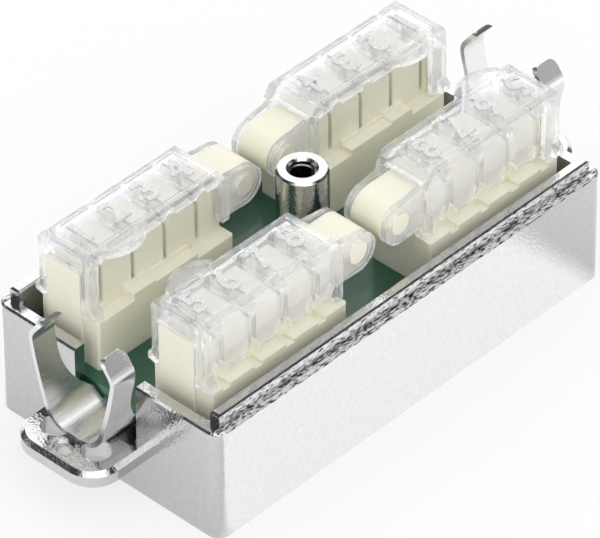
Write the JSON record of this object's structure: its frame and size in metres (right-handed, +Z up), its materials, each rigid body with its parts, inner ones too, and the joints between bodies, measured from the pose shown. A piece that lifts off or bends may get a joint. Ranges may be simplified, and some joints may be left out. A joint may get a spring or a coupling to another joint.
{
  "type": "surface mount ethernet connection box",
  "caption": "Open metal cable connection box with hinged-cap terminal blocks, a cable clip at each end and a lid-screw post.",
  "frame": {"origin": "under the centre of the box, in the plane that it stands on", "axes": "+X along the box towards its far end, +Y across it to the left row of blocks, +Z up out of the tray"},
  "size_m": [0.085, 0.036, 0.0274],
  "materials": {
    "plated_casting": "bright nickel plating on a zinc die casting",
    "spring_metal": "bright rolled spring steel",
    "contact_metal": "tinned bronze",
    "board": "green solder mask over glass laminate",
    "cream_plastic": "cream moulded plastic",
    "clear_plastic": "clear moulded polycarbonate"
  },
  "bodies": {
    "base": {"housing": "plated_casting", "circuit_board": "board", "terminal_block_near_left": "cream_plastic", "terminal_block_near_right": "cream_plastic", "terminal_block_far_left": "cream_plastic", "terminal_block_far_right": "cream_plastic", "contact_near_left_1": "contact_metal", "contact_near_left_2": "contact_metal", "contact_near_left_3": "contact_metal", "contact_near_left_4": "contact_metal", "contact_near_right_1": "contact_metal", "contact_near_right_2": "contact_metal", "contact_near_right_3": "contact_metal", "contact_near_right_4": "contact_metal", "contact_far_left_1": "contact_metal", "contact_far_left_2": "contact_metal", "contact_far_left_3": "contact_metal", "contact_far_left_4": "contact_metal", "contact_far_right_1": "contact_metal", "contact_far_right_2": "contact_metal", "contact_far_right_3": "contact_metal", "contact_far_right_4": "contact_metal", "cable_clip_near": "spring_metal", "cable_clip_far": "spring_metal"},
    "cap_near_left_body": {"cap_near_left": "clear_plastic"},
    "cap_near_right_body": {"cap_near_right": "clear_plastic"},
    "cap_far_left_body": {"cap_far_left": "clear_plastic"},
    "cap_far_right_body": {"cap_far_right": "clear_plastic"}
  },
  "joints": [
    {"name": "cap_near_left_hinge", "type": "hinge", "parent": "base", "child": "cap_near_left_body", "pos_m": [-0.0036, 0.0091, 0.02205], "axis": [0, 1, 0], "range_deg": [0, 70]},
    {"name": "cap_near_right_hinge", "type": "hinge", "parent": "base", "child": "cap_near_right_body", "pos_m": [-0.0036, -0.0091, 0.02205], "axis": [0, 1, 0], "range_deg": [0, 70]},
    {"name": "cap_far_left_hinge", "type": "hinge", "parent": "base", "child": "cap_far_left_body", "pos_m": [0.0036, 0.0091, 0.02205], "axis": [0, -1, 0], "range_deg": [0, 70]},
    {"name": "cap_far_right_hinge", "type": "hinge", "parent": "base", "child": "cap_far_right_body", "pos_m": [0.0036, -0.0091, 0.02205], "axis": [0, -1, 0], "range_deg": [0, 70]}
  ]
}
